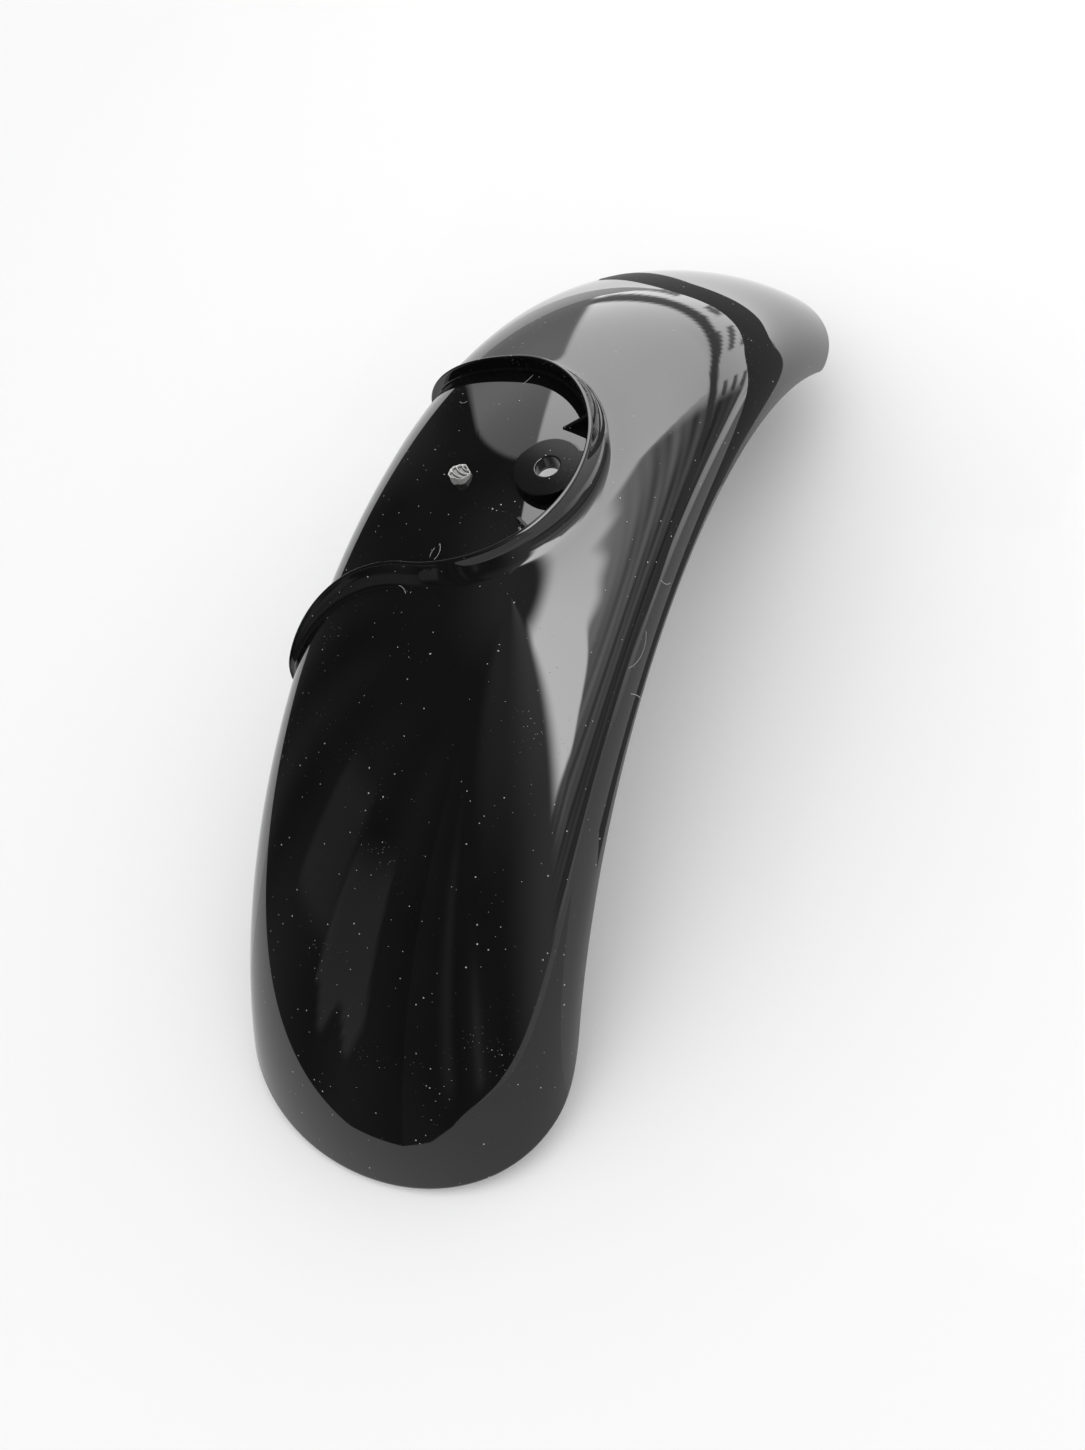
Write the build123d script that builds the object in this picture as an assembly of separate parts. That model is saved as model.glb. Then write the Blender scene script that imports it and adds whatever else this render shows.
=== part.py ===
from build123d import *
import math
import os

# Front mudguard for a small-wheeled motorcycle, moulded in one piece.
# Origin: middle of the bolt boss's seat face. +X forwards, +Y to the left
# (the side on which the fork pocket is open), +Z up along the bolt. Millimetres.

# Shell
overall_width = 132.0       # outside, skirt to skirt
crown_radius = 247.5        # outside of the crown, from the wheel axle
crown_rise = 36.8           # height of the half-elliptical section
skirt_depth = 2.0           # straight part below the half ellipse
wall = 2.8
edge_round = 0.9            # on the shell's free edges

# Ends: slanting cuts, seen from the side, with rounded lower corners
front_tip = 53.4            # degrees round the axle from the bolt to the tip of the end
rear_tip = 61.7             # degrees, the same at the rear
front_slant = 47.0          # degrees between the cut and the shell's run at the tip
rear_slant = 48.0           # degrees, the same at the rear
front_corner = 12.0
rear_corner = 52.0

# Fork pocket
bolt_offset = 20.7          # from the bolt to the middle plane of the shell
pocket_reach = 47.0         # round closed end, towards the right
pocket_front = 49.2         # the same, towards the front
pocket_rear = 47.8          # the same, towards the rear
pocket_centre = 34.9        # from the bolt to the middle of the round end
rear_flare = 66.0           # radius by which the rear side opens towards the skirt
floor_drop = 2.0            # floor of the pocket below the shell's surface, at the skirt
floor_crown = 0.5           # the same, at the crown
floor_round = 0.8           # fillet between floor and wall

# Collar round the pocket
collar_rise = 6.9           # at the crown
collar_lean = 4.6           # how much lower it stands on the left skirt than at the crown
collar_fore = 2.0           # how much lower still on the front side, and higher on the rear side
lip = 1.5                   # width of the rim
flank = 8.0                 # reach of the hollow outer slope
flank_hollow = 0.15         # share of that reach at which the slope is drawn in
root = 1.2                  # how deep the collar is let into the wall

# Bolt boss
boss_radius = 12.8
web_width = 18.0            # joins the boss to the closed end of the pocket
seat_rise = 3.8             # seat face above the shell's surface
bolt_hole = 9.0             # diameter

# Ribs beside the boss
front_rib_place = 30.7      # degrees round the closed end from the pocket's axis to the front rib
front_rib_turn = 24.0       # degrees between that rib and the pocket's axis
rear_rib_place = 34.0       # degrees, the same for the rear rib
rear_rib_turn = 38.0        # degrees, the same for the rear rib
rib_width = 1.6
rib_length = 11.2
rib_rise = 6.8              # above the pocket floor, at the wall
rib_slope = 23.0            # degrees by which the top falls from the wall to the nose

# Gate stub, left by the moulding's sprue
stub_back = 7.7             # behind the bolt
stub_left = 32.1            # to the left of the bolt
stub_radius = 3.7
stub_rise = 2.6
stub_slant = 14.0           # degrees, the broken face

half_width = overall_width / 2
edge_radius = crown_radius - crown_rise - skirt_depth
bolt_fall = crown_rise * (1 - math.sqrt(1 - (bolt_offset / half_width) ** 2))
axle_z = -(crown_radius - bolt_fall + seat_rise)
axle = Axis((0, bolt_offset, axle_z), (0, 1, 0))
margin = 20.0               # by which cutting bodies pass the shell
spare_turn = 15.0           # degrees, the same round the axle
touch = 0.01                # distance below which a place lies on a surface


def under(inset_side, inset_top):
    """Solid under the shell's section, set in at the sides and at the top and carried past both ends of the arch."""
    spring = axle_z + crown_radius - crown_rise
    foot = axle_z + edge_radius - margin
    right = bolt_offset - half_width + inset_side
    left = bolt_offset + half_width - inset_side
    top = EllipticalCenterArc((bolt_offset, spring), half_width - inset_side, crown_rise - inset_top, arc_size=180)
    legs = Polyline((right, spring), (right, foot), (left, foot), (left, spring))
    section = Plane.YZ * make_face([top, legs])
    reach = max(front_tip, rear_tip) + spare_turn
    return revolve(section.rotate(axle, -reach), axle, 2 * reach)


def surface_point(x, along):
    """Point and outward normal of the shell at a plan x and an angle round its section.

    The angle runs from the crown to the left. Past a right angle the point goes straight down the skirt.
    """
    beyond = max(0.0, math.radians(along - 90)) * crown_rise
    turn = math.radians(min(along, 90))
    radius = crown_radius - crown_rise * (1 - math.cos(turn)) - beyond
    swing = math.asin(x / radius)
    lift = Vector(math.sin(swing), 0, math.cos(swing))
    point = Vector(0, bolt_offset + half_width * math.sin(turn), axle_z) + lift * radius
    normal = lift * (math.cos(turn) / crown_rise) + Vector(0, math.sin(turn) / half_width, 0)
    return point, normal.normalized()


def section_angle(y):
    """Angle round the section at a sideways place y."""
    return math.degrees(math.asin((y - bolt_offset) / half_width))


def rear_side(y, grow=0.0):
    """Plan x of the pocket's flared rear side at y, and the angle of its bend there."""
    bend = math.asin((y - pocket_centre) / (rear_flare - grow))
    return -pocket_rear - grow - (rear_flare - grow) * (1 - math.cos(bend)), bend


def pocket_outline(grow=0.0):
    """Plan of the pocket, grown by an even amount: round end, straight front side, flared rear side."""
    skirt_y = bolt_offset + half_width
    half_y = (pocket_centre + skirt_y) / 2
    open_y = skirt_y + margin
    front = pocket_front + grow
    closed = pocket_reach + grow
    rear = pocket_rear + grow
    middle = (0, pocket_centre)
    half_x = rear_side(half_y, grow)[0]
    skirt_x, bend = rear_side(skirt_y, grow)
    open_x = skirt_x - margin * math.tan(bend)
    front_end = EllipticalCenterArc(middle, front, closed, -90, arc_size=90)
    rear_end = EllipticalCenterArc(middle, rear, closed, 180, arc_size=90)
    flare = ThreePointArc((-rear, pocket_centre), (half_x, half_y), (skirt_x, skirt_y))
    close = Polyline((skirt_x, skirt_y), (open_x, open_y), (front, open_y), (front, pocket_centre))
    return Pos(0, 0, axle_z + edge_radius - margin) * make_face([front_end, rear_end, flare, close])


def collar_stations():
    """Places along the rim from the front skirt, round the closed end, to the rear skirt.

    Each is a plan x, an angle round the section, and the plan direction that points out of the pocket.
    """
    past_edge = 90 + math.degrees((skirt_depth + lip) / crown_rise)
    down_the_side = (past_edge, 84, 68, 50, 34)
    front = [(pocket_front, along, Vector(1, 0, 0)) for along in down_the_side]
    closed = []
    for turn in range(0, 181, 20):
        across = pocket_front if turn < 90 else pocket_rear
        cosine = math.cos(math.radians(turn))
        sine = math.sin(math.radians(turn))
        out = Vector(cosine / across, -sine / pocket_reach, 0).normalized()
        closed.append((across * cosine, section_angle(pocket_centre - pocket_reach * sine), out))
    rear = []
    for along in reversed(down_the_side):
        y = bolt_offset + half_width * math.sin(math.radians(min(along, 90)))
        x, bend = rear_side(y)
        rear.append((x, along, Vector(-math.cos(bend), -math.sin(bend), 0)))
    return front + closed + rear


def collar_section(x, along, out):
    """Section of the collar, square to the rim: flat lip above the upright pocket wall, hollow outer slope."""
    point, normal = surface_point(x, along)
    side = (out - normal * out.dot(normal)).normalized()
    rise = collar_rise - (collar_lean + collar_fore * out.X) * normal.Y
    wall_top = -rise * out.dot(normal) / out.dot(side)
    slope = Bezier((lip + flank, -root), (lip + flank_hollow * flank, 0), (wall_top + lip, rise))
    rest = Polyline((wall_top + lip, rise), (wall_top - lip, rise), (-lip, -root), (lip + flank, -root))
    return Plane(point, side, side.cross(normal)) * make_face([slope, rest])


def end_cut(tip, slant, corner, ahead):
    """Everything past an end of the shell: a slanting cut, rounded at the bottom into the skirt's edge.

    Drawn from the side, with one axis along the shell at the tip and the other out from the axle.
    """
    turn = math.radians(tip)
    run = Vector(ahead * math.cos(turn), 0, -math.sin(turn))
    view = Plane((0, bolt_offset, axle_z), run, (0, -ahead, 0))
    up = Vector(math.cos(math.radians(slant)), math.sin(math.radians(slant)))
    point = Vector(0, crown_radius)
    start = point + Vector(-up.Y, up.X) * corner
    reach = edge_radius + corner
    slide = math.sqrt(start.dot(up) ** 2 - start.dot(start) + reach ** 2) - start.dot(up)
    middle = start + up * slide
    upper = point + up * slide
    lower = middle * (edge_radius / reach)
    halfway = middle + ((upper + lower) / 2 - middle).normalized() * corner
    top = point + up * margin
    below = lower * (1 - margin / edge_radius)
    far = Vector(crown_radius, 0)
    round_corner = ThreePointArc(upper, halfway, lower)
    rest = Polyline(lower, below, below + far, top + far, top, upper)
    return extrude(view * make_face([round_corner, rest]), half_width + margin, both=True)


def on_outside(point):
    """True for a point on the shell's outer surface."""
    radius = math.hypot(point.X, point.Z - axle_z)
    aside = (point.Y - bolt_offset) / half_width
    above = max(0.0, radius - crown_radius + crown_rise) / crown_rise
    return abs(math.hypot(aside, above) - 1) < touch / crown_rise


def at_wall_foot(edge):
    """True for the edges along which the pocket wall meets its floor."""
    level = outline.center().Z
    places = [edge @ share for share in (0.1, 0.5, 0.9)]
    plan = [Vector(place.X, place.Y, level) for place in places]
    on_wall = all(outline.wire().distance_to(place) < touch for place in plan)
    return on_wall and floor_level.distance_to(places[1]) < touch


def floor_height(x, y):
    """Height of the pocket floor at a place in plan."""
    aside = (y - bolt_offset) / (half_width - floor_drop)
    radius = crown_radius - crown_rise + (crown_rise - floor_crown) * math.sqrt(1 - aside ** 2)
    return axle_z + math.sqrt(radius ** 2 - x ** 2)


def standing(profile, x, y, top):
    """Upright feature on the pocket floor, from the inside of the wall up to a level top."""
    return Pos(x, y, top) * extrude(profile, top - axle_z - edge_radius, dir=(0, 0, -1)) - cavity


# Arched shell, stepped down inside below the pocket
outline = pocket_outline()
depth = crown_radius - edge_radius + 3 * margin
cavity = under(floor_drop + wall, floor_crown + wall)
below_pocket = extrude(pocket_outline(wall), depth, dir=(0, 0, 1))
body = under(0, 0) - (under(wall, wall) - below_pocket) - cavity

# Skirt edges and ends, with the outside of every free edge rounded
across = Plane((0, bolt_offset, axle_z), (1, 0, 0), (0, 1, 0))
inside_skirts = across * Cylinder(edge_radius, overall_width + 2 * margin)
body -= inside_skirts
body -= end_cut(front_tip, front_slant, front_corner, 1)
body -= end_cut(rear_tip, rear_slant, rear_corner, -1)
outside = [face for face in body.faces() if on_outside(face.position_at(0.5, 0.5))]
shared = [edge for face in outside for edge in face.edges()]
body = fillet([edge for edge in shared if shared.count(edge) == 1], edge_round)

# Collar on the shell, and the pocket sunk to its floor
body += loft([collar_section(*station) for station in collar_stations()]) - inside_skirts
floor_level = under(floor_drop, floor_crown)
body -= extrude(outline, depth, dir=(0, 0, 1)) - floor_level
body = fillet(body.edges().filter_by(at_wall_foot), floor_round)

# Bolt boss, joined by a web to the closed end of the pocket
wall_reach = pocket_reach - pocket_centre + lip / 2
boss = Circle(boss_radius) + Pos(0, -wall_reach / 2) * Rectangle(web_width, wall_reach)
body += standing(boss, 0, 0, 0)
body -= Cylinder(bolt_hole / 2, 2 * (crown_radius - edge_radius))

# Ribs that slope down from the pocket wall towards its middle, one on each side of the boss
nose = rib_length - rib_width / 2
bar = Pos((nose - lip / 2) / 2, 0) * Rectangle(nose + lip / 2, rib_width)
rib = bar + Pos(nose, 0) * Circle(rib_width / 2)
front_rib = (pocket_front, front_rib_place, front_rib_turn)
rear_rib = (-pocket_rear, rear_rib_place, -rear_rib_turn)
for reach, place, turn in (front_rib, rear_rib):
    x = reach * math.sin(math.radians(place))
    y = pocket_centre - pocket_reach * math.cos(math.radians(place))
    top = floor_height(x, y) + rib_rise
    inwards = Vector(0, 1, 0).rotate(Axis.Z, turn)
    slope = Plane((x, y, top), z_dir=inwards * math.tan(math.radians(rib_slope)) + Vector(0, 0, 1))
    block = standing(Rot(0, 0, 90 + turn) * rib, x, y, top)
    body += split(block, bisect_by=slope, keep=Keep.BOTTOM)

# Gate stub, broken off at a slant
stub_top = floor_height(-stub_back, stub_left) + stub_rise
stub = standing(Circle(stub_radius), -stub_back, stub_left, stub_top + stub_radius)
broken = Plane((-stub_back, stub_left, stub_top)).rotated((stub_slant, stub_slant, 0))
body += split(stub, bisect_by=broken, keep=Keep.BOTTOM)

os.makedirs("parts", exist_ok=True)
export_step(body, "parts/mudguard.step")
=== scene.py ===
import math
import bmesh
import bpy
import numpy as np
from mathutils import Matrix, Vector


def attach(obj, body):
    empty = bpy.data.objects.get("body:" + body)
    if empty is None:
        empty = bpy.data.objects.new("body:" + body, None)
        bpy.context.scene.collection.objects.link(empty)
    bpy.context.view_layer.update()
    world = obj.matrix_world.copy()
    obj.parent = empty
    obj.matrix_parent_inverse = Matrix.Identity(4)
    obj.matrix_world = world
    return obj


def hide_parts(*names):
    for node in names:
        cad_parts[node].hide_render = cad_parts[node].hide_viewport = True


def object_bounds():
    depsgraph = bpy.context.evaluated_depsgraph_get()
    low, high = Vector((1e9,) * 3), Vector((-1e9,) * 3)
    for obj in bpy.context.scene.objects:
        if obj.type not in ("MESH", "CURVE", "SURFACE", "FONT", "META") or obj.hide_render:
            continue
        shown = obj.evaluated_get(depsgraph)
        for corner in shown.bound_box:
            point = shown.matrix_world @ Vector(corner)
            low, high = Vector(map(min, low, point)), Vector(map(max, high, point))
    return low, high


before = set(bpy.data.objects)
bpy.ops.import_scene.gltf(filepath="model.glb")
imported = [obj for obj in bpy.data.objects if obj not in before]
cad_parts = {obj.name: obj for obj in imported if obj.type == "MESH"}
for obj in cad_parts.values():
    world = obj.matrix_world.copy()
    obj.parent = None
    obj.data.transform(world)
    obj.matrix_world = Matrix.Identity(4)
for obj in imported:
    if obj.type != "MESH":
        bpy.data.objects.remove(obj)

cad_box = [list(corner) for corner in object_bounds()]


# The arched shell: gloss-black plastic, injection-moulded. An even wall of half-elliptical
# section runs round the wheel's axle, ends in two slanting cuts with round lower corners,
# and has the outside of its free edges rounded. Lengths in millimetres, angles in degrees.
half_width, crown_radius, crown_rise = 66.0, 247.5, 36.8
skirt_depth, wall, edge_round = 2.0, 2.8, 0.9
front_tip, front_slant, front_corner = 53.4, 47.0, 12.0
rear_tip, rear_slant, rear_corner = 61.7, 48.0, 52.0
bolt_offset, seat_rise = 20.7, 3.8

right_angle = math.pi / 2
edge_radius = crown_radius - crown_rise - skirt_depth
edge_angle = right_angle + skirt_depth / crown_rise
bolt_fall = crown_rise * (1 - math.sqrt(1 - (bolt_offset / half_width) ** 2))
axle_z = -(crown_radius - bolt_fall + seat_rise)
inside = (wall, wall)
cut_points, corner_points, skirt_points = 240, 120, 400


def section(q, inset=(0.0, 0.0)):
    """Half ellipse at angle q from the crown, set in at the side and at the top: sideways place
    and distance from the axle. Past a right angle it runs straight down the skirt."""
    around = np.clip(q, -right_angle, right_angle)
    aside = (half_width - inset[0]) * np.sin(around)
    radius = crown_radius - crown_rise + (crown_rise - inset[1]) * np.cos(around)
    return aside, radius - crown_rise * (np.abs(q) - np.abs(around))


def shell_point(turn, q, inset=(0.0, 0.0)):
    """The section's point at angle q, swung round the axle by an angle turn."""
    aside, radius = section(q, inset)
    aside, radius, turn = np.broadcast_arrays(aside, radius, turn)
    x, z = radius * np.sin(turn), axle_z + radius * np.cos(turn)
    return np.stack([x, bolt_offset + aside, z], -1)


def shell_normal(turn, q):
    """Outward normal of the shell: the ellipse's own normal, swung round the axle."""
    around = np.clip(q, -right_angle, right_angle)
    out, aside = np.cos(around) / crown_rise, np.sin(around) / half_width
    size = np.hypot(out, aside)
    out, aside, turn = np.broadcast_arrays(out / size, aside / size, turn)
    return np.stack([out * np.sin(turn), aside, out * np.cos(turn)], -1)


def end_line(tip, slant, corner):
    """Side view of a slanting end, from its tip to the skirt's edge: a straight cut, then an arc
    tangent to the cut and to the circle of the edge. Distances from the axle, angles round it."""
    up = np.array([math.cos(math.radians(slant)), math.sin(math.radians(slant))])
    point = np.array([0.0, crown_radius])
    start = point + np.array([-up[1], up[0]]) * corner
    reach = edge_radius + corner
    slide = math.sqrt((start @ up) ** 2 - start @ start + reach ** 2) - start @ up
    middle, upper = start + up * slide, point + up * slide
    lower = middle * (edge_radius / reach)
    first = math.atan2(*(upper - middle)[::-1])
    last = math.atan2(*(lower - middle)[::-1])
    bend = np.linspace(first, last, corner_points)
    arc = middle + corner * np.stack([np.cos(bend), np.sin(bend)], -1)
    cut = point + (upper - point) * np.linspace(0, 1, cut_points)[:, None]
    along, out = np.concatenate([cut, arc[1:]]).T
    return np.hypot(along, out), math.radians(tip) + np.arctan2(along, out)


def end_turn(line, radius):
    """Angle round the axle at which an end cuts the circle of that radius."""
    return np.interp(radius, line[0][::-1], line[1][::-1])


def side_view(radius, turn):
    """Places ahead of and above the axle."""
    return np.stack([radius * np.sin(turn), radius * np.cos(turn)], -1)


# Both ends stand back by a hair, so that no tip reaches past the moulding's overall size.
held_back = 0.003
front_line = end_line(front_tip - held_back, front_slant, front_corner)
rear_line = end_line(rear_tip - held_back, rear_slant, rear_corner)
skirt_run = np.linspace(front_line[1][-1], -rear_line[1][-1], skirt_points + 2)[1:-1]
free_edge = np.concatenate([
    side_view(front_line[0], front_line[1]),
    side_view(edge_radius, skirt_run),
    side_view(rear_line[0], -rear_line[1])[::-1],
])
heading = np.gradient(free_edge, axis=0)
edge_out = np.stack([-heading[:, 1], heading[:, 0]], -1)
edge_out /= np.linalg.norm(heading, axis=-1, keepdims=True)


def round_off(points, normals):
    """How far skin points near a free edge move to lie on the arc that rounds it. Where skin and
    cut face meet at an angle, the arc starts round / tan(angle / 2) from the edge and turns
    evenly."""
    flat = points[:, ::2] - np.array([0.0, axle_z])
    gap = (flat[:, :1] - free_edge[:, 0]) ** 2 + (flat[:, 1:] - free_edge[:, 1]) ** 2
    nearest = gap.argmin(1)
    face = edge_out[nearest]
    away = ((free_edge[nearest] - flat) * face).sum(-1).clip(0)
    face = np.stack([face[:, 0], np.zeros(len(face)), face[:, 1]], -1)
    cosine = (normals * face).sum(-1)
    angle = np.arccos(-cosine)
    start = edge_round / np.tan(angle / 2)
    along = np.minimum(away / np.sin(angle), start)
    bend = (1 - along / start) * (math.pi - angle)
    towards = (face - normals * cosine[:, None]) / np.sin(angle)[:, None]
    ahead = along - start + edge_round * np.sin(bend)
    return towards * ahead[:, None] - normals * (edge_round * (1 - np.cos(bend)))[:, None]


# The fork pocket: a U-shaped recess for the end of the fork arm, moulded into the shell and open
# to the left skirt. A collar with an upright inner wall, a thin lip and a hollow outer flank
# stands round it, highest at the closed end and lowest at the skirt.
pocket_reach, pocket_front, pocket_rear = 47.0, 49.2, 47.8
pocket_centre, rear_flare = 34.9, 66.0
floor_drop, floor_crown, floor_round = 2.0, 0.5, 0.8
collar_rise, collar_lean, collar_fore = 6.9, 4.6, 2.0
lip, lip_round, flank, flank_hollow, flank_ease, root = 1.5, 0.7, 8.0, 0.15, 0.4, 1.2
hole_radius, hole_gap = 4.5, 0.1

sunk = (floor_drop, floor_crown)
under_sunk = (floor_drop + wall, floor_crown + wall)

# Stations along the rim: front side from the skirt up, closed end, rear side down to the skirt.
# The first ones stand close together, at these distances above the skirt's edge.
edge_rows = np.array([0, 0.12, 0.35, 0.65, 1.0, 1.6, 2.6, 4.0, 6.0]) / crown_rise
side_start, side_stations, end_stations = 8 / crown_rise, 40, 201
closed_angle = math.asin((pocket_centre - bolt_offset) / half_width)
side_rows = np.linspace(edge_angle - side_start, closed_angle, side_stations)
side_q = np.concatenate([edge_angle - edge_rows, side_rows])
swing = np.linspace(0, math.pi, end_stations + 2)[1:-1]
reach = np.where(swing < right_angle, pocket_front, pocket_rear)
closed_y = pocket_centre - pocket_reach * np.sin(swing)
closed_q = np.arcsin((closed_y - bolt_offset) / half_width)
side_y = bolt_offset + half_width * np.sin(np.minimum(side_q, right_angle))
bend = np.arcsin((side_y - pocket_centre) / rear_flare)[::-1]
flare_x = -pocket_rear - rear_flare * (1 - np.cos(bend))
straight = np.ones(len(side_q))
rim_x = np.concatenate([pocket_front * straight, reach * np.cos(swing), flare_x])
rim_q = np.concatenate([side_q, closed_q, side_q[::-1]])
out_x = np.concatenate([straight, np.cos(swing) / reach, -np.cos(bend)])
out_y = np.concatenate([0 * straight, -np.sin(swing) / pocket_reach, -np.sin(bend)])
out = np.stack([out_x, out_y, 0 * out_x], -1) / np.hypot(out_x, out_y)[:, None]
rim_radius = section(rim_q)[1]
rim_turn = np.arcsin(rim_x / rim_radius)
rim_normal = shell_normal(rim_turn, rim_q)
leaving = (out * rim_normal).sum(-1, keepdims=True)
side = out - rim_normal * leaving
side_size = np.linalg.norm(side, axis=-1, keepdims=True)
side /= side_size
lean = (leaving / side_size)[:, 0]

# Change of both angles per millimetre out from the rim; near the skirt it comes to follow the edge.
edge_fade = 10.0
flat_q = np.clip(rim_q, -right_angle, right_angle)
sine_q, cosine_q = np.sin(flat_q), np.cos(flat_q)
down = np.stack([-np.sin(rim_turn) * sine_q * crown_rise, cosine_q * half_width,
                 -np.cos(rim_turn) * sine_q * crown_rise], -1)
ahead = np.stack([np.cos(rim_turn), 0 * rim_turn, -np.sin(rim_turn)], -1)
fade = np.clip((edge_angle - rim_q) * crown_rise / edge_fade, 0, 1)
step_turn = (side * ahead).sum(-1) / rim_radius
step_q = (side * down).sum(-1) / (down ** 2).sum(-1) * fade


def beside_rim(d, height, inset=(0.0, 0.0)):
    """Points at a distance d out from the rim along the shell, lifted by a height along its
    normal."""
    turn = rim_turn[:, None] + step_turn[:, None] * d
    q = rim_q[:, None] + step_q[:, None] * d
    return shell_point(turn, q, inset) + shell_normal(turn, q) * np.asarray(height)[..., None]


def at(d, height):
    """One point per station, from a distance and a height per station."""
    return beside_rim(np.asarray(d)[:, None], np.asarray(height)[:, None])[:, 0]


def locate(points, inset):
    """Angles round the axle and round the section of points that lie on the inset shell."""
    along, up = points[..., 0], points[..., 2] - axle_z
    above = np.hypot(along, up) - crown_radius + crown_rise
    aside = (points[..., 1] - bolt_offset) / (half_width - inset[0])
    q = np.arctan2(aside, np.maximum(above, 0) / (crown_rise - inset[1]))
    return np.arctan2(along, up), q + np.sign(q) * np.maximum(-above, 0) / crown_rise


def bezier(first, control, last, count, ends=True):
    """Quadratic curve from first to last, drawn towards control, as a stack of points."""
    share = np.linspace(0, 1, count)[None, 0 if ends else 1:, None]
    first, control, last = (v[:, None, :] for v in (first, control, last))
    return (1 - share) ** 2 * first + 2 * share * (1 - share) * control + share ** 2 * last


# Inner end of every station: the middle line of the pocket floor, then the edge of the bolt hole.
# The line takes a share of the stations round the closed end.
hole_clear = hole_radius + hole_gap
line_share = 0.42
half = len(swing) // 2
to_hole = round(line_share * half)
line_y = np.linspace(pocket_centre, hole_clear, to_hole + 2)[1:]
hole_angle = np.linspace(right_angle, -right_angle, half + 1 - to_hole)[1:]
half_x = np.concatenate([0 * line_y, hole_clear * np.cos(hole_angle)])
half_y = np.concatenate([line_y, hole_clear * np.sin(hole_angle)])
plan_x = np.concatenate([half_x, -half_x[-2::-1]])
plan_y = np.concatenate([half_y, half_y[-2::-1]])
plan_q = np.arcsin((plan_y - bolt_offset) / (half_width - floor_drop))
plan_turn = np.arcsin(plan_x / section(plan_q, sunk)[1])
inner_turn = np.concatenate([0 * side_q, plan_turn, 0 * side_q])
inner_q = np.concatenate([side_q, plan_q, side_q[::-1]])

# Floor, fillet, upright wall, rounded lip and hollow flank, from the inside out.
floor_columns, fillet_columns, wall_columns, corner_columns, flank_columns = 24, 8, 5, 9, 22
least_wall, flank_start = 0.3, 0.05
rise = collar_rise - (collar_lean + collar_fore * out[:, 0]) * rim_normal[:, 1]
wall_top = -rise * lean
sink = floor_drop * sine_q ** 2 / half_width + floor_crown * cosine_q ** 2 / crown_rise
sink /= np.hypot(cosine_q / crown_rise, sine_q / half_width)
foot_turn, foot_q = locate(at(sink * lean, -sink), sunk)
toe_turn, toe_q = foot_turn - floor_round * step_turn, foot_q - floor_round * step_q
share = np.linspace(0, 1, floor_columns)[None, :]
floor_turn = inner_turn[:, None] + (toe_turn - inner_turn)[:, None] * share
floor_q = inner_q[:, None] + (toe_q - inner_q)[:, None] * share
pocket_floor = shell_point(floor_turn, floor_q, sunk)
low = np.minimum(floor_round - sink, rise - lip_round - least_wall)
foot, fillet_top = shell_point(foot_turn, foot_q, sunk), at(-low * lean, low)
fillet = bezier(pocket_floor[:, -1], foot, fillet_top, fillet_columns, ends=False)
share = np.linspace(0, 1, wall_columns)[None, 1:]
climb = low[:, None] + (rise - lip_round - low)[:, None] * share
upright = beside_rim(-climb * lean[:, None], climb)
lip_start, lip_end = at(wall_top + lip_round, rise), at(wall_top + lip - lip_round, rise)
inside_corner = bezier(upright[:, -1], at(wall_top, rise), lip_start, corner_columns, ends=False)
slope = np.linspace(flank_start, 1, flank_columns)[None, :]
flank_d = ((1 - slope) ** 2 * (wall_top + lip)[:, None] + slope ** 2 * (lip + flank)
           + 2 * slope * (1 - slope) * (lip + flank_hollow * flank))
flank_h = (1 - slope) ** 2 * rise[:, None] - slope ** 2 * root
flank_h = (flank_h + np.sqrt(flank_h ** 2 + flank_ease)) / 2
flank_h -= slope ** 3 * flank_h[:, -1:]
flank_side = beside_rim(flank_d, flank_h)
outside_corner = bezier(lip_end, at(wall_top + lip, rise), flank_side[:, 0], corner_columns)


# The skin outside the collar: every station runs on to the front end, the right skirt or the rear
# end, and its last millimetres turn over the rounded edge. Left and right skin meet near the crown.
meet = math.radians(-10)
skin_columns, last_gap, edge_zone, settle_columns = 54, 5.0, 3.0, 6
spread = (edge_angle - meet) / (edge_angle - closed_angle)
left_q = edge_angle - (edge_angle - side_q) * spread
front_left = end_turn(front_line, section(left_q)[1])
rear_left = -end_turn(rear_line, section(left_q)[1])


def right_half(line):
    """Angles along an end from the meeting point to the right skirt's edge."""
    above = (line[0] - crown_radius + crown_rise) / crown_rise
    q = -np.where(above > 0, np.arccos(np.clip(above, 0, 1)), right_angle - above)
    return line[1][q < meet], q[q < meet]


front_right, rear_right = right_half(front_line), right_half(rear_line)
round_turn = np.concatenate([front_right[0], skirt_run, -rear_right[0][::-1]])
skirt_q = np.full(len(skirt_run), -edge_angle)
round_q = np.concatenate([front_right[1], skirt_q, rear_right[1][::-1]])
run = np.linalg.norm(np.diff(shell_point(round_turn, round_q), axis=0), axis=-1)
run = np.concatenate([[0], np.cumsum(run)])
place = swing / math.pi * run[-1]
outer_turn = np.concatenate([front_left, np.interp(place, run, round_turn), rear_left[::-1]])
outer_q = np.concatenate([left_q, np.interp(place, run, round_q), left_q[::-1]])

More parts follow.
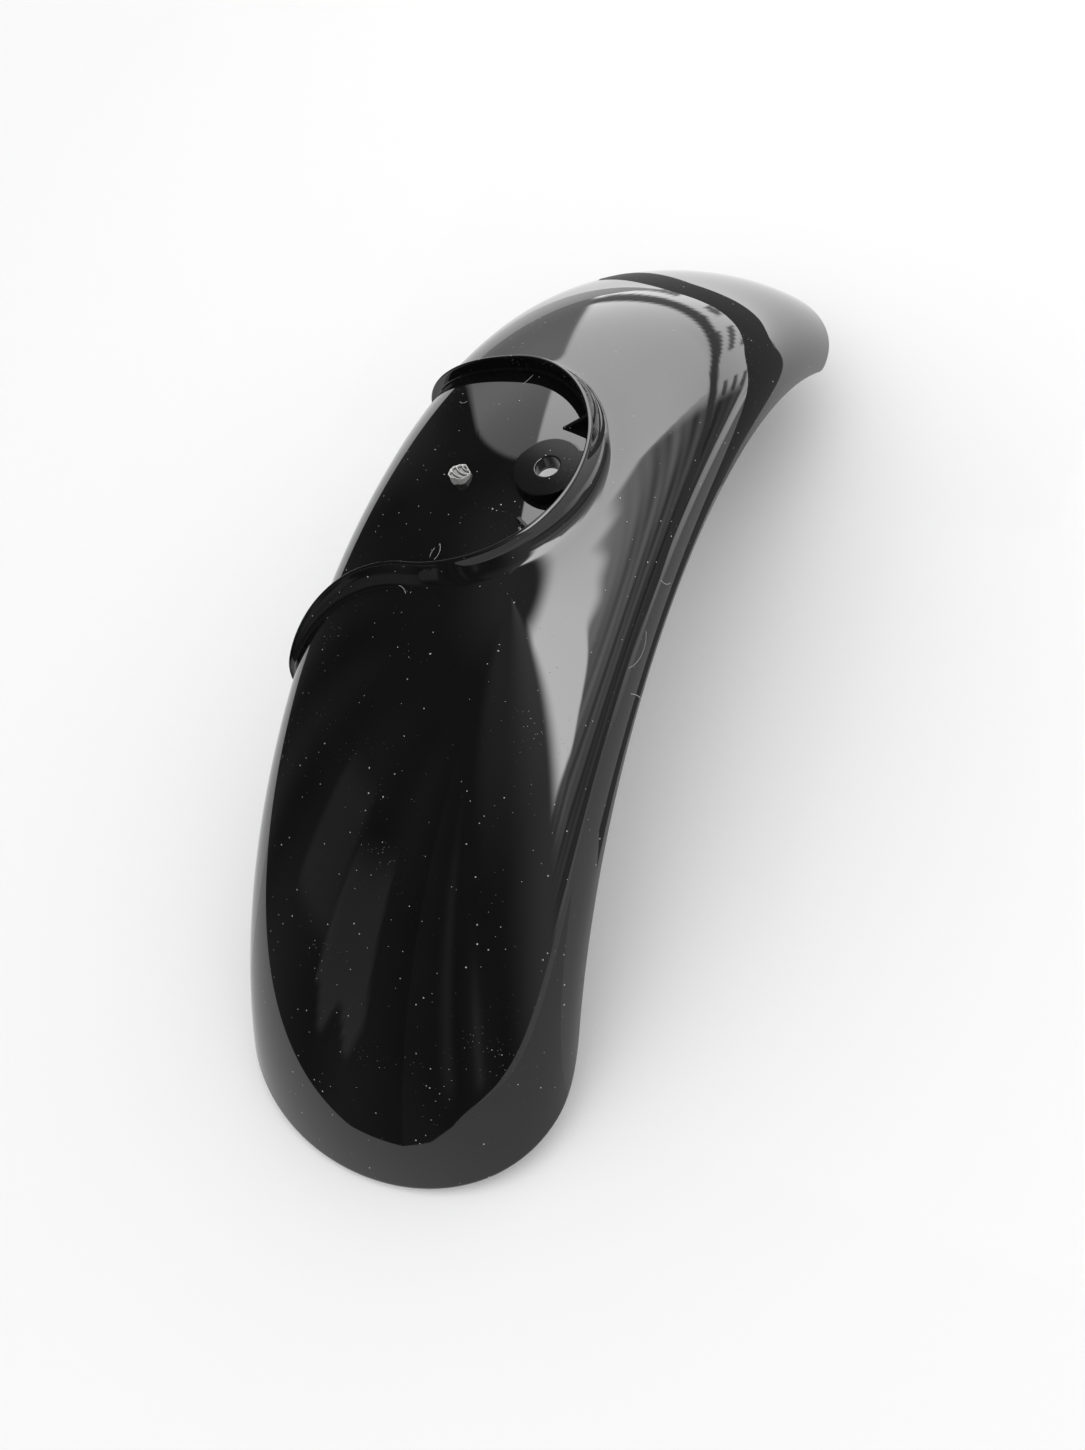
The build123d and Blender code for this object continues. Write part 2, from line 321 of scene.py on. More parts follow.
start_turn = rim_turn + step_turn * (lip + flank)
start_q = rim_q + step_q * (lip + flank)
start, end = shell_point(start_turn, start_q), shell_point(outer_turn, outer_q)
span = np.linalg.norm(start - end, axis=-1)[:, None]
last_rows = np.array([4.0, 3.1, 2.4, 1.8, 1.3, 0.9, 0.6, 0.3, 0.12, 0.0])[None, :]
share = np.linspace(0, 1, skin_columns + 2)[None, 1:-1] * (1 - last_gap / span)
share = np.concatenate([share, 1 - last_rows / span], 1)
skin_turn = start_turn[:, None] + (outer_turn - start_turn)[:, None] * share
skin_q = start_q[:, None] + (outer_q - start_q)[:, None] * share
skin = shell_point(skin_turn, skin_q)
near_edge = section(skin_q)[1] < edge_radius + edge_zone
near_edge[:, -len(last_rows[0]) - 1:] = True
settle = np.clip(np.arange(skin.shape[1]) / settle_columns, 0, 1)
settle = np.broadcast_to(settle, near_edge.shape)[near_edge]
normals = shell_normal(skin_turn, skin_q)[near_edge]
skin[near_edge] += round_off(skin[near_edge], normals) * settle[:, None]
top = np.concatenate([pocket_floor, fillet, upright, inside_corner, outside_corner,
                      flank_side[:, 1:], skin], 1)

# The inside of the arch: the same stations one wall thickness in, stepped down below the pocket
# and otherwise plain, as the mould's core leaves it.
under_floor = shell_point(floor_turn, floor_q, under_sunk)
between = fillet.shape[1] + upright.shape[1] + inside_corner.shape[1] + outside_corner.shape[1]
below_wall = np.linspace(-floor_round, wall, between + 1)[None, 1:]
below_flank = np.linspace(wall, lip + flank, flank_side.shape[1] - 1)[None, :]
no_lift = np.zeros((1, 1))
under_wall = beside_rim(below_wall, no_lift, under_sunk)
under_flank = beside_rim(below_flank, no_lift, inside)
inner_radius = section(outer_q, inside)[1]
rearmost, foremost = -end_turn(rear_line, inner_radius), end_turn(front_line, inner_radius)
last_turn = np.clip(outer_turn, rearmost, foremost)
share = np.linspace(0, 1, skin.shape[1] + 1)[None, 1:]
under_turn = start_turn[:, None] + (last_turn - start_turn)[:, None] * share
under_q = start_q[:, None] + (outer_q - start_q)[:, None] * share
under_skin = shell_point(under_turn, under_q, inside)
bottom = np.concatenate([under_floor, under_wall, under_flank, under_skin], 1)


def quads(grid):
    """Faces of a grid of vertex numbers, each square taken the same way round."""
    corners = [grid[:-1, :-1], grid[1:, :-1], grid[1:, 1:], grid[:-1, 1:]]
    return np.stack(corners, -1).reshape(-1, 4)


rows, columns = top.shape[:2]
top_ids = np.arange(rows * columns).reshape(rows, columns)
bottom_ids = top_ids + rows * columns
shared = len(side_q) + to_hole + 1
for ids in (top_ids, bottom_ids):
    ids[rows - shared:, 0] = ids[:shared, 0][::-1]
hole_rows = slice(shared - 1, rows - shared + 1)
points = [top.reshape(-1, 3), bottom.reshape(-1, 3)]
faces = [
    quads(top_ids),
    quads(bottom_ids)[:, ::-1],
    quads(np.stack([top_ids[:, -1], bottom_ids[:, -1]], 1)),
    quads(np.stack([top_ids[0], bottom_ids[0]], 1)),
    quads(np.stack([bottom_ids[-1], top_ids[-1]], 1)),
    quads(np.stack([bottom_ids[hole_rows, 0], top_ids[hole_rows, 0]], 1)),
]


# The bolt boss: a round pad moulded on the pocket floor, with a flat seat and the bolt's hole,
# joined by a web to the closed end of the pocket.
boss_radius, boss_round, web_width, hole_round = 12.8, 0.5, 18.0, 0.35
bury, loop_gap, tiny = 1.0, 0.15, 1e-6


def floor_z(x, y):
    """Height of the pocket floor at a place in plan."""
    q = np.arcsin((y - bolt_offset) / (half_width - floor_drop))
    return axle_z + np.sqrt(section(q, sunk)[1] ** 2 - x ** 2)


def add_loops(loops, ring=False):
    """Joins a stack of closed loops into one skin; a ring also joins its last loop to its first."""
    count, around = loops.shape[:2]
    ids = np.arange(count * around).reshape(count, around) + sum(map(len, points))
    ids = np.concatenate([ids, ids[:, :1]], 1)
    points.append(loops.reshape(-1, 3))
    faces.append(quads(np.concatenate([ids, ids[:1]]) if ring else ids)[:, ::-1])


angle = np.linspace(0, 2 * math.pi, 193)[:-1]
cosine, sine = np.cos(angle), np.sin(angle)
wall_reach = pocket_reach - pocket_centre + lip / 2
square = np.minimum(web_width / 2 / np.maximum(np.abs(cosine), tiny),
                    wall_reach / np.maximum(-sine, tiny))
boss_reach = np.where(sine < 0, np.maximum(boss_radius, square), boss_radius)
arc = np.linspace(0, right_angle, 6)[:, None]
seat_rows = np.array([0.15, 0.5, 1.5])[:, None]
radii = np.concatenate([
    np.stack([boss_reach, boss_reach]),
    boss_reach - boss_round * (1 - np.cos(arc)),
    boss_reach - boss_round - seat_rows,
    hole_radius + hole_round + seat_rows[::-1] + 0 * angle,
    hole_radius + hole_round * (1 - np.sin(arc)) + 0 * angle,
    np.full((2, len(angle)), hole_radius),
])
heights = np.concatenate([
    floor_z(boss_reach * cosine, boss_reach * sine)[None] - bury,
    np.full((1, len(angle)), -boss_round - loop_gap),
    -boss_round * (1 - np.sin(arc)) + 0 * angle,
    np.zeros((2 * len(seat_rows), len(angle))),
    -hole_round * (1 - np.cos(arc)) + 0 * angle,
    np.full((1, len(angle)), -hole_round - loop_gap),
    floor_z(hole_radius * cosine, hole_radius * sine)[None] - bury,
])
add_loops(np.stack([radii * cosine, radii * sine, heights], -1), ring=True)
boss_end = sum(map(len, points))


# Two ribs: thin gussets moulded with the pocket, one on each side of the boss. Each stands on the
# floor against the upright wall, and its top slopes down to a round nose. Each is placed by the
# reach of its side of the pocket, its place round the closed end and its own turn.
front_rib = (pocket_front, 30.7, 24.0)
rear_rib = (-pocket_rear, 34.0, -38.0)
rib_width, rib_length, rib_rise, rib_slope, rib_round = 1.6, 11.2, 6.8, 23.0, 0.3
nose = rib_length - rib_width / 2
bow = np.linspace(-right_angle, right_angle, 25)
flat_run = np.linspace(-lip / 2, nose, 12)[:-1]
along = np.concatenate([flat_run, nose + np.cos(bow) * rib_width / 2, flat_run[::-1]])
beside = np.full(len(flat_run), rib_width / 2)
across = np.concatenate([-beside, np.sin(bow) * rib_width / 2, beside])
drawn_in = np.concatenate([[0, 0], rib_round * (1 - np.cos(arc[1:, 0]))])[:, None]
shrink = 1 - drawn_in / (rib_width / 2)
spine = np.minimum(along, nose)[None]
u = np.concatenate([spine, np.where(along > nose, nose + (along - nose) * shrink, along), spine])
v = np.concatenate([0 * spine, across * shrink, 0 * spine])
crest = math.tan(math.radians(rib_slope)) * np.maximum(u, 0)
crest[2:-1] += rib_round * (1 - np.sin(arc))
for far, stand, turned in (front_rib, rear_rib):
    stand, turned = math.radians(stand), math.radians(turned)
    foot_x, foot_y = far * math.sin(stand), pocket_centre - pocket_reach * math.cos(stand)
    head_x, head_y = -math.sin(turned), math.cos(turned)
    x, y = foot_x + u * head_x - v * head_y, foot_y + u * head_y + v * head_x
    z = floor_z(foot_x, foot_y) + rib_rise - crest
    z[:2] = floor_z(x[:2], y[:2]) - bury
    add_loops(np.stack([x, y, z], -1))


# The gate stub: the torn remains of the moulding's sprue on the pocket floor, whitened where the
# plastic was strained, with painted shade in the hollows of its torn face. Its broken face slants,
# with a ragged rim and curved tears across it.
stub_x, stub_y, stub_radius, stub_rise, stub_slant = -7.7, 32.1, 3.7, 2.6, 0.25
stub_oval, stub_rim, face_hollow, ridge_height = 0.88, 0.94, 0.9, 0.8
tear_x, tear_y, tear_rate = 4.6, -1.5, 3.0
ring = np.linspace(0, 2 * math.pi, 145)[:-1]
ragged = 1.05 + 0.06 * np.sin(3 * ring + 1) + 0.05 * np.cos(5 * ring)
ragged = ragged + 0.02 * np.sin(11 * ring + 2)
share = np.concatenate([[0, 1.04, 1.02, 1.0], np.linspace(0.985, 0, 40)])[:, None]
x = stub_x + stub_radius * share * ragged * np.cos(ring)
y = stub_y + stub_oval * stub_radius * share * ragged * np.sin(ring)
hollow = np.clip((stub_rim - share) * 8, 0, 1)
tear = np.hypot(x - stub_x - tear_x, y - stub_y - tear_y)
ridge = np.clip(np.sin(tear_rate * tear + 0.5), 0, 1) ** 2
slope = stub_slant * (stub_x - x + y - stub_y)
face = stub_rise + slope - hollow * (face_hollow - ridge_height * ridge)
lift = np.concatenate([[-bury, -bury, 0.5, 0.9], np.ones(len(share) - 4)])[:, None]
z = floor_z(stub_x, stub_y) + np.where(lift < 0, lift, lift * face)
# Share of white on the stub: the hollows between the tears stay dark as painted shade, and the
# sides are only half as white.
gate_whitening_and_pit_shade = (1 - 0.93 * hollow * (1 - ridge)) * np.where(lift < 1, 0.5, 1)
stub_start = sum(map(len, points))
add_loops(np.stack([x, y, z], -1))


# The moulding: shell, collar, pocket, boss, ribs and stub come out of the mould as one piece, so
# they are one object with one finish. Edges that turn by more than the crease angle stay crisp.
join_gap, crease = 1e-7, math.radians(38)
points, faces = np.concatenate(points), np.concatenate(faces)
used, faces = np.unique(faces, return_inverse=True)
zones = {
    "core_side": (used >= rows * columns) & (used < 2 * rows * columns),
    "seat": (used >= 2 * rows * columns) & (used < boss_end),
    "torn_gate": np.concatenate([np.zeros(stub_start), gate_whitening_and_pit_shade.ravel()])[used],
}
mesh = bpy.data.meshes.new("mudguard_moulding")
mesh.from_pydata(points[used] / 1000, [], faces.reshape(-1, 4))
for zone, chosen in zones.items():
    mesh.attributes.new(zone, "FLOAT", "POINT").data.foreach_set("value", chosen.astype(np.float32))
joined = bmesh.new()
joined.from_mesh(mesh)
bmesh.ops.remove_doubles(joined, verts=joined.verts, dist=join_gap)
joined.to_mesh(mesh)
joined.free()
mesh.polygons.foreach_set("use_smooth", np.ones(len(mesh.polygons), bool))
mesh.set_sharp_from_angle(angle=crease)
mudguard = bpy.data.objects.new("mudguard_moulding", mesh)
bpy.context.scene.collection.objects.link(mudguard)


def node(tree, kind, inputs=(), **settings):
    """A new shader node: its settings, then for each input a value or the output that feeds it."""
    made = tree.nodes.new("ShaderNode" + kind)
    for name, value in settings.items():
        setattr(made, name, value)
    for name, value in dict(inputs).items():
        if isinstance(value, bpy.types.NodeSocket):
            tree.links.new(value, made.inputs[name])
        else:
            made.inputs[name].default_value = value
    return made.outputs


def math_node(tree, operation, first, second=0.0, third=0.0, clamp=False):
    """A sum, product, comparison or other operation on two values, or on three."""
    values = {0: first, 1: second, 2: third}
    return node(tree, "Math", values, operation=operation, use_clamp=clamp)[0]


def blend(tree, share, first, second):
    """A value that goes from first to second as the share goes from 0 to 1."""
    return node(tree, "MapRange", {"Value": share, "To Min": first, "To Max": second})[0]


def tint(tree, share, first, second):
    """A colour that goes from first to second as the share goes from 0 to 1."""
    return node(tree, "Mix", {"Factor": share, 6: first, 7: second}, data_type="RGBA")[2]


def new_group(name, inputs, outputs):
    """An empty shader node group with named sockets, and its input and output nodes."""
    group = bpy.data.node_groups.new(name, "ShaderNodeTree")
    for socket, kind in inputs:
        group.interface.new_socket(name=socket, in_out="INPUT", socket_type="NodeSocket" + kind)
    for socket, kind in outputs:
        group.interface.new_socket(name=socket, in_out="OUTPUT", socket_type="NodeSocket" + kind)
    given = group.nodes.new("NodeGroupInput").outputs
    return group, given, group.nodes.new("NodeGroupOutput").inputs


# Settled dust: round specks in two sizes on the moulding's gloss. The coarse ones lie singly, and
# the fine ones gather in faint drifts.
dust, given, result = new_group("settled_dust", [("Vector", "Vector")], [("Mask", "Float")])
grain = node(dust, "TexVoronoi", {"Vector": given["Vector"], "Scale": 420.0})
grain_size = node(dust, "SeparateColor", {"Color": grain["Color"]})["Red"]
grain_size = math_node(dust, "POWER", grain_size, 4.0)
grain_size = math_node(dust, "MULTIPLY_ADD", grain_size, 0.11, 0.03)
specks = math_node(dust, "SUBTRACT", grain_size, grain["Distance"])
specks = math_node(dust, "MULTIPLY", specks, 40.0, clamp=True)
powder = node(dust, "TexVoronoi", {"Vector": given["Vector"], "Scale": 700.0})
drift = node(dust, "TexNoise", {"Vector": given["Vector"], "Scale": 42.0, "Detail": 3.0})["Fac"]
drift = node(dust, "MapRange", {"Value": drift, "From Min": 0.5, "From Max": 0.7,
                                "To Max": 0.15})[0]
powder = math_node(dust, "SUBTRACT", drift, powder["Distance"])
powder = math_node(dust, "MULTIPLY", powder, 25.0, clamp=True)
powder = math_node(dust, "MULTIPLY", powder, 0.3)
dust.links.new(math_node(dust, "MAXIMUM", specks, powder), result["Mask"])

# One stray fibre: a fine hair of lint that clings to the gloss in an arc. It is the part of a
# circle of given radius, about the middle of its own space, within a half angle of its X axis.
fibre_inputs = [("Vector", "Vector"), ("Radius", "Float"), ("Span", "Float")]
hair, given, result = new_group("stray_fibre", fibre_inputs, [("Mask", "Float")])
split = node(hair, "SeparateXYZ", {"Vector": given["Vector"]})
flat = node(hair, "CombineXYZ", {"X": split["X"], "Y": split["Y"]})[0]
off = node(hair, "VectorMath", {0: flat}, operation="LENGTH")["Value"]
off = math_node(hair, "ABSOLUTE", math_node(hair, "SUBTRACT", off, given["Radius"]))
line = math_node(hair, "MULTIPLY", off, 11000.0)
line = math_node(hair, "SUBTRACT", 1.4, line, clamp=True)
swept = math_node(hair, "ABSOLUTE", math_node(hair, "ARCTAN2", split["Y"], split["X"]))
line = math_node(hair, "MULTIPLY", line, math_node(hair, "LESS_THAN", swept, given["Span"]))
near = math_node(hair, "LESS_THAN", math_node(hair, "ABSOLUTE", split["Z"]), 0.002)
hair.links.new(math_node(hair, "MULTIPLY", line, near), result["Mask"])

# Gloss-black plastic: very dark and glossy with faint waves and smudges, dust and stray fibres.
# The inside of the arch is satin, the seat a little matt and the torn gate white and rough, with
# painted shade in the hollows of its torn face.
plastic = bpy.data.materials.new("gloss_black_plastic")
plastic.use_nodes = True
tree = plastic.node_tree
shader = tree.nodes["Principled BSDF"]
spot = node(tree, "TexCoord")["Object"]
core, seat, gate = (node(tree, "Attribute", attribute_name=zone)["Fac"] for zone in zones)

# Each fibre by its start, middle and end on the surface, in millimetres.
fibres = np.array([
    [(-52.2, -42.5, -34.5), (-44.8, -44.1, -36.5), (-37.0, -43.4, -33.0)],
    [(-18.8, -43.0, -29.9), (-18.4, -44.0, -32.5), (-13.6, -44.8, -34.7)],
    [(-41.9, 28.0, -6.3), (-38.7, 27.2, -5.7), (-35.8, 28.3, -5.3)],
    [(-41.2, 30.1, -6.3), (-39.3, 30.2, -6.0), (-35.8, 28.3, -5.3)],
    [(40.2, 29.3, -6.1), (43.0, 28.4, -6.5), (45.9, 27.8, -7.0)],
    [(-53.2, 37.4, -9.0), (-54.0, 35.3, -8.8), (-56.2, 33.5, -9.1)],
    [(-58.4, -44.3, -40.4), (-56.6, -45.2, -44.3), (-56.0, -45.3, -47.7)],
    [(30.6, 53.4, -9.5), (29.6, 51.6, -8.8), (30.0, 50.0, -8.3)],
]) / 1000
soil = node(tree, "Group", {"Vector": spot}, node_tree=dust)["Mask"]
for start, middle, end in fibres:
    u, v = middle - start, end - start
    axis = np.cross(u, v)
    centre = start + np.cross(u @ u * v - v @ v * u, axis) / (2 * axis @ axis)
    radius = np.linalg.norm(middle - centre)
    out, axis = (middle - centre) / radius, axis / np.linalg.norm(axis)
    turned = Matrix(np.stack([out, np.cross(axis, out), axis], 1)).to_euler()
    span = math.acos(min(1, (start - centre) @ out / radius))
    own = node(tree, "Mapping", {"Vector": spot, "Location": centre, "Rotation": turned},
               vector_type="TEXTURE")[0]
    strand = node(tree, "Group", {"Vector": own, "Radius": radius, "Span": span},
                  node_tree=hair)["Mask"]
    soil = math_node(tree, "MAXIMUM", soil, strand)
soil = math_node(tree, "MULTIPLY", soil, math_node(tree, "SUBTRACT", 1.0, core))

cloud = node(tree, "TexNoise", {"Vector": spot, "Scale": 26.0, "Detail": 5.0})["Fac"]
wave = node(tree, "TexNoise", {"Vector": spot, "Scale": 60.0, "Detail": 1.0})["Fac"]
spark = node(tree, "TexNoise", {"Vector": spot, "Scale": 1400.0, "Detail": 2.0})["Fac"]
rip = node(tree, "TexNoise", {"Vector": spot, "Scale": 700.0, "Detail": 4.0})["Fac"]
colour = tint(tree, cloud, (0.002, 0.002, 0.0022, 1), (0.006, 0.006, 0.0063, 1))
colour = tint(tree, math_node(tree, "MULTIPLY", core, 0.8), colour, (0.016, 0.016, 0.0165, 1))
colour = tint(tree, math_node(tree, "MULTIPLY", soil, 0.75), colour, (0.5, 0.49, 0.47, 1))
whitened = tint(tree, rip, (0.4, 0.4, 0.4, 1), (0.85, 0.85, 0.83, 1))
# The torn gate turns white, except in the hollows of its torn face, which are kept dark as painted
# shade.
tree.links.new(tint(tree, gate, colour, whitened), shader.inputs["Base Color"])
smudge = node(tree, "MapRange", {"Value": cloud, "From Min": 0.5, "From Max": 0.75,
                                 "To Min": 0.016, "To Max": 0.05})[0]
rough = blend(tree, soil, smudge, 0.6)
rough = blend(tree, seat, rough, math_node(tree, "ADD", rough, 0.09))
rough = blend(tree, core, rough, blend(tree, spark, 0.26, 0.42))
tree.links.new(blend(tree, gate, rough, 0.5), shader.inputs["Roughness"])
height = math_node(tree, "MULTIPLY", wave, 0.05)
satin, torn = math_node(tree, "MULTIPLY", spark, core), math_node(tree, "MULTIPLY", rip, gate)
for bumps, share in ((soil, 0.4), (satin, 0.12), (torn, 2.0)):
    height = math_node(tree, "ADD", height, math_node(tree, "MULTIPLY", bumps, share))
relief = node(tree, "Bump", {"Distance": 0.0001, "Height": height})["Normal"]
tree.links.new(relief, shader.inputs["Normal"])
shader.inputs["IOR"].default_value = 1.53
mesh.materials.append(plastic)
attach(mudguard, "root")
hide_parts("mudguard")


# The studio floor: a pale matt sheet laid flat just below the mudguard's lowest tip. It reaches
# past the picture on every side. Lengths in metres from here on.
floor_reach, floor_gap = 4, 0.001
floor_level = cad_box[0][2] - floor_gap
floor_mesh = bpy.data.meshes.new("studio_floor")
corners = floor_reach * np.array([(-1, -1), (1, -1), (1, 1), (-1, 1)])
floor_mesh.from_pydata(np.column_stack([corners, np.full(4, floor_level)]), [], [(0, 1, 2, 3)])
floor = bpy.data.objects.new("studio_floor", floor_mesh)
bpy.context.scene.collection.objects.link(floor)
paint = bpy.data.materials.new("pale_floor_paint")
paint.use_nodes = True
matt = paint.node_tree.nodes["Principled BSDF"].inputs
matt["Base Color"].default_value = (0.95, 0.95, 0.95, 1)
matt["Roughness"].default_value = 0.9
floor_mesh.materials.append(paint)


# The reflection tent: hidden soft panels that only the gloss sees. A large bright window lies ahead
# and to the right above a dark rail, a grey wall ahead to the left, and dark cloth hangs all round
# behind. Bearings and elevations in degrees.
tent_height, tent_y = 0.7, 0.02
tent_bearings = [-180, -176, -172, -166, -158, -148, -130, -110, 60, 95, 160, 172, 180]
tent_reaches = [0.29, 0.33, 0.46, 0.85, 1.3, 1.5, 1.2, 0.8, 0.7, 0.38, 0.29, 0.275, 0.29]
curb_glow, rail_glow = 0.22, 0.42


def ramp(x, first, last):
    """Smooth step from 0 at first to 1 at last."""
    t = np.clip((x - first) / (last - first), 0, 1)
    return t * t * (3 - 2 * t)


def band(x, begin, finish):
    """1 between two soft edges and 0 outside them; each edge is given by where its step starts
    and where it ends."""
    return ramp(x, *begin) * (1 - ramp(x, *finish))


def hung_cloth(az, el):
    """Dark cloth in wavy folds, paler overhead, with two lit patches behind to the left and two
    narrow seams behind to the right."""
    low = 1 - ramp(el, 20, 45)
    folds = 1 + 0.35 * np.sin(0.23 * az + 0.6 * np.sin(0.11 * az)) * low
    cloth = 0.06 * folds + 0.2 * ramp(el, 50, 85)
    upper = band(az + 0.5 * (el - 15), (137, 140), (153, 157)) * band(el, (7, 10), (19, 25))
    ragged = el + 1.2 * np.sin(0.9 * az)
    lower = band(az + 0.25 * el, (159, 160), (173, 174)) * ramp(ragged, 4, 5)
    lower = lower * (1 - ramp(el, 13, 19))
    seams = np.exp(-((az + 172) / 1.6) ** 2) + 1.2 * np.exp(-((az + 161) / 2.2) ** 2)
    return cloth + 0.12 * upper + 0.2 * lower + 0.13 * seams * low * ramp(el, 1, 6)


def bright_window(az, el):
    """Sky above a wavy sill. Below the sill lies streaked haze with a bright foot to the right,
    and ahead a pale front with dark storeys and bays. A dark rail runs across both."""
    sill = np.interp(az, [-118, -100, -88, -80, -60, -40, -32, -27, -15, 0, 10, 26],
                     [38, 42, 52, 57, 59, 58, 48, 22, 20, 18, 13, 6])
    waves = 2.0 * np.sin(0.19 * az) + 1.2 * np.sin(0.43 * az + 1)
    sill = sill + waves * (1 - ramp(az, -50, -38))
    soft = np.interp(az, [-90, -80, -45, -25], [3, 9, 9, 3])
    sky = np.interp(az, [-115, -85, -50, -25, 0, 25], [10, 9.5, 8, 6.5, 5.6, 5.2])
    sky = sky * np.where(az < -80, 1, 0.62 + 0.38 * ramp(el, 12, 50))
    streaks = 0.3 * np.sin(0.47 * el + 0.04 * az)
    streaks = streaks + 0.25 * np.sin(1.13 * el - 0.07 * az + 2 * np.sin(0.06 * az))
    haze = np.interp(el, [0, 15, 25, 45, 60], [0.35, 0.45, 0.9, 1.7, 3.4])
    haze = haze * (1 + streaks * ramp(el, 60, 30))
    haze = haze + np.interp(az, [-90, -45], [0.8, 2.8]) * (1 - ramp(el, 2.5, 4))
    rail = np.interp(az, [-75, -60, -45, -30, -20, -5, 10, 25], [0, 9, 17, 20, 19.5, 14, 8, 3])
    storeys = ramp(np.sin(1.4 * (rail - el) + 0.9 * np.sin(0.21 * az)), -0.1, 0.3)
    bays = ramp(np.sin(0.42 * az + 1.2 * np.sin(0.19 * az) + 0.5), -0.1, 0.15)
    front = 3.4 - 2.6 * storeys * bays * (el < rail)
    haze = haze + (front - haze) * ramp(az, -34, -28)
    window = haze + (sky - haze) * ramp(el, sill - soft / 2, sill + soft / 2)
    thick = np.interp(az, [-70, -50, -40], [4.5, 3.0, 1.3])
    bar = (1 - ramp(np.abs(el - rail), thick, thick + 0.8)) * ramp(az, -82, -70)
    return window + (rail_glow - window) * bar


def tent_glow(az, el):
    """Brightness of the tent by bearing, 0 ahead and 90 to the left, and by elevation: cloth, the
    grey wall with its round upper corner, and the window where it stands open."""
    cloth, window = hung_cloth(az, el), bright_window(az, el)
    window = window + (cloth - window) * ramp(el, 76, 83)
    corner = np.hypot((az - 26) / 22, np.maximum(el - 34, 0) / 24)
    wall_glow = 0.6 + 0.8 * ramp(el, 5, 35)
    ahead = cloth + (wall_glow - cloth) * (1 - ramp(corner, 0.97, 1.03))
    behind = cloth + 0.45 * ramp(az, -150, -118) * (az < -100)
    glow = np.where(az > 0, ahead, behind)
    return glow + (window - glow) * band(az, (-121, -112), (25, 26.5))


bearing, climb = np.meshgrid(np.linspace(-180, 180, 481), np.linspace(0, 90, 121), indexing="ij")
az, el = np.radians(bearing), np.radians(climb)
tent_reach = np.interp(bearing, tent_bearings, tent_reaches) * np.cos(el)
dome = [tent_reach * np.cos(az), tent_reach * np.sin(az), tent_height * np.sin(el)]
dome_ids = np.arange(bearing.size).reshape(bearing.shape)

# On the floor of the tent a low dark curb stands ahead and to the right, and three soft sheets
# lie ahead, behind and far to the right.
curb_plan = np.array([(200, 95), (250, 95), (380, 105), (500, 95), (600, 20), (630, -70),
                      (610, -160), (420, -160), (150, -96), (0, -84), (-110, -92)]) / 1000
curb_height = np.array([30, 42, 50, 55, 70, 84, 92, 96, 74, 52, 35]) / 1000
steps, fine = np.arange(len(curb_plan)), np.linspace(0, len(curb_plan) - 1, 201)
easing = np.linspace(-0.7, 0.7, 15)[:, None]
curb_x, curb_y, curb_top = (np.interp(fine + easing, steps, line).mean(0)
                            for line in (*curb_plan.T, curb_height))
curb = [np.stack([curb_x, curb_y - tent_y, z], -1) for z in (0 * curb_top, curb_top)]
curb_ids = dome_ids.size + np.arange(2 * len(fine)).reshape(-1, 2)
sheets = np.array([
    [(0.66, 0.19), (0.66, -0.17), (0.1, 0.19), (0.1, -0.17)],
    [(-0.17, 0.4), (-0.17, -0.4), (-0.9, 0.4), (-0.9, -0.4)],
    [(0.6, -0.3), (0.6, -0.75), (0.02, -0.49), (0.02, -0.75)],
]).reshape(-1, 2)
sheet_glow = np.repeat([3.0, 0.5, 0.75, 0.75, 3.6, 1.2], 2)
sheet_lift = np.full(len(sheets), 0.0005)
sheet_ids = curb_ids.max() + 1 + np.arange(len(sheets)).reshape(-1, 2, 2)
tent_points = np.concatenate([np.stack(dome, -1).reshape(-1, 3), np.stack(curb, 1).reshape(-1, 3),
                              np.column_stack([sheets, sheet_lift])])
tent_points += np.array([0.0, tent_y, floor_level])
tent_faces = np.concatenate([quads(ids) for ids in (dome_ids, curb_ids, *sheet_ids)])
tent_mesh = bpy.data.meshes.new("reflection_tent")
tent_mesh.from_pydata(tent_points, [], tent_faces)
glow = np.concatenate([tent_glow(bearing, climb).ravel(), np.full(curb_ids.size, curb_glow),
                       sheet_glow]).astype(np.float32)
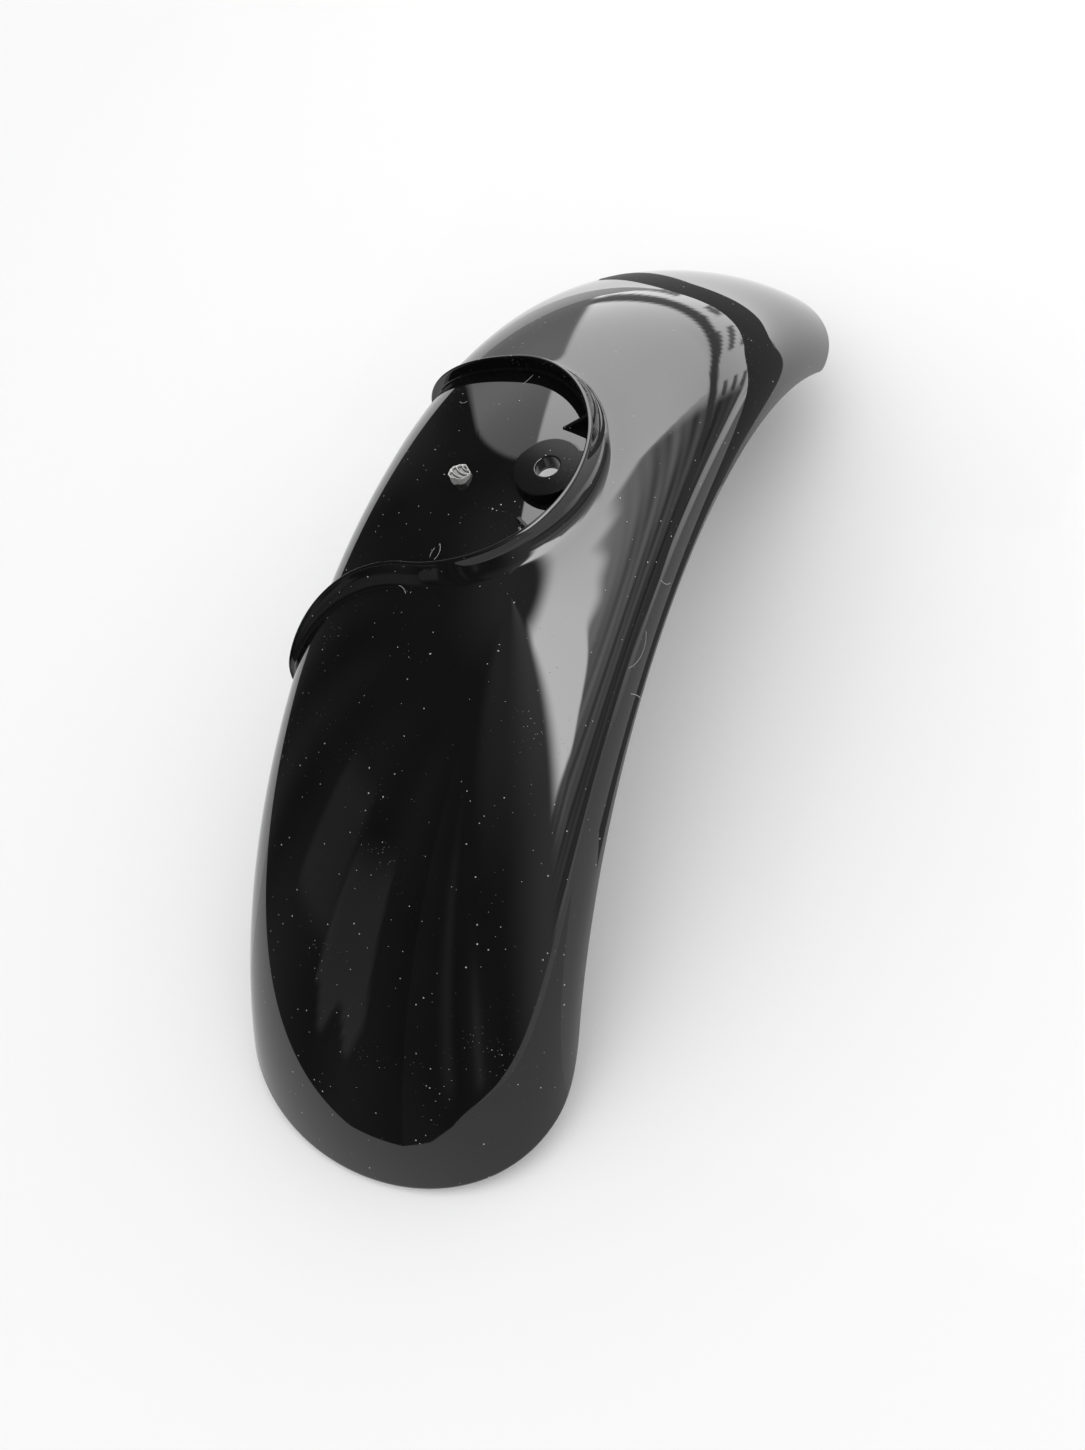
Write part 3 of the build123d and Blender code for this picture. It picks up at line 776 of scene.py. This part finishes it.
tent_mesh.attributes.new("glow", "FLOAT", "POINT").data.foreach_set("value", glow)
tent = bpy.data.objects.new("reflection_tent", tent_mesh)
bpy.context.scene.collection.objects.link(tent)
tent.visible_camera = tent.visible_diffuse = tent.visible_shadow = False
panel = bpy.data.materials.new("tent_panels")
panel.use_nodes = True
tree = panel.node_tree
tree.nodes.clear()
brightness = node(tree, "Attribute", attribute_name="glow")["Fac"]
light = node(tree, "Emission", {"Strength": brightness})["Emission"]
node(tree, "OutputMaterial", {"Surface": light})
panel.cycles.emission_sampling = "NONE"
tent_mesh.materials.append(panel)


# The studio light: an even pale surround and one large soft lamp, ahead of and above the mudguard
# on its right. The lamp itself does not show in the gloss.
key_place, key_target = Vector((0.7, -0.5, 1.2)), Vector((0, 0.02, -0.05))
world = bpy.data.worlds.new("studio")
bpy.context.scene.world = world
world.use_nodes = True
world.node_tree.nodes["Background"].inputs["Color"].default_value = (0.92, 0.92, 0.92, 1)
lamp = bpy.data.lights.new("key", "AREA")
lamp.energy, lamp.size = 5, 1.6
key = bpy.data.objects.new("key", lamp)
key.location = key_place
key.rotation_euler = (key_target - key_place).to_track_quat("-Z", "Y").to_euler()
key.visible_glossy = False
bpy.context.scene.collection.objects.link(key)


# The camera: right of, behind and above the mudguard, as in the photograph. The shift puts the
# mudguard where it lies in the picture's frame.
view_centre, view_distance = Vector((0.00982, 0.02067, -0.051546)), 0.5404
lens = bpy.data.cameras.new("photo_view")
lens.sensor_fit, lens.sensor_width, lens.sensor_height = "VERTICAL", 36, 36
lens.lens = 34.92
lens.shift_x, lens.shift_y = -0.0021, -0.1382
camera = bpy.data.objects.new("photo_view", lens)
back = Vector((-0.4927, -0.4407, 0.7503)).normalized()
right = Vector((0.3798, -0.8847, -0.2703))
right = (right - back * right.dot(back)).normalized()
camera.matrix_world = Matrix((right, back.cross(right), back)).transposed().to_4x4()
camera.matrix_world.translation = view_centre + back * view_distance
bpy.context.scene.collection.objects.link(camera)
bpy.context.scene.camera = camera
bpy.context.scene.view_settings.view_transform = "Standard"
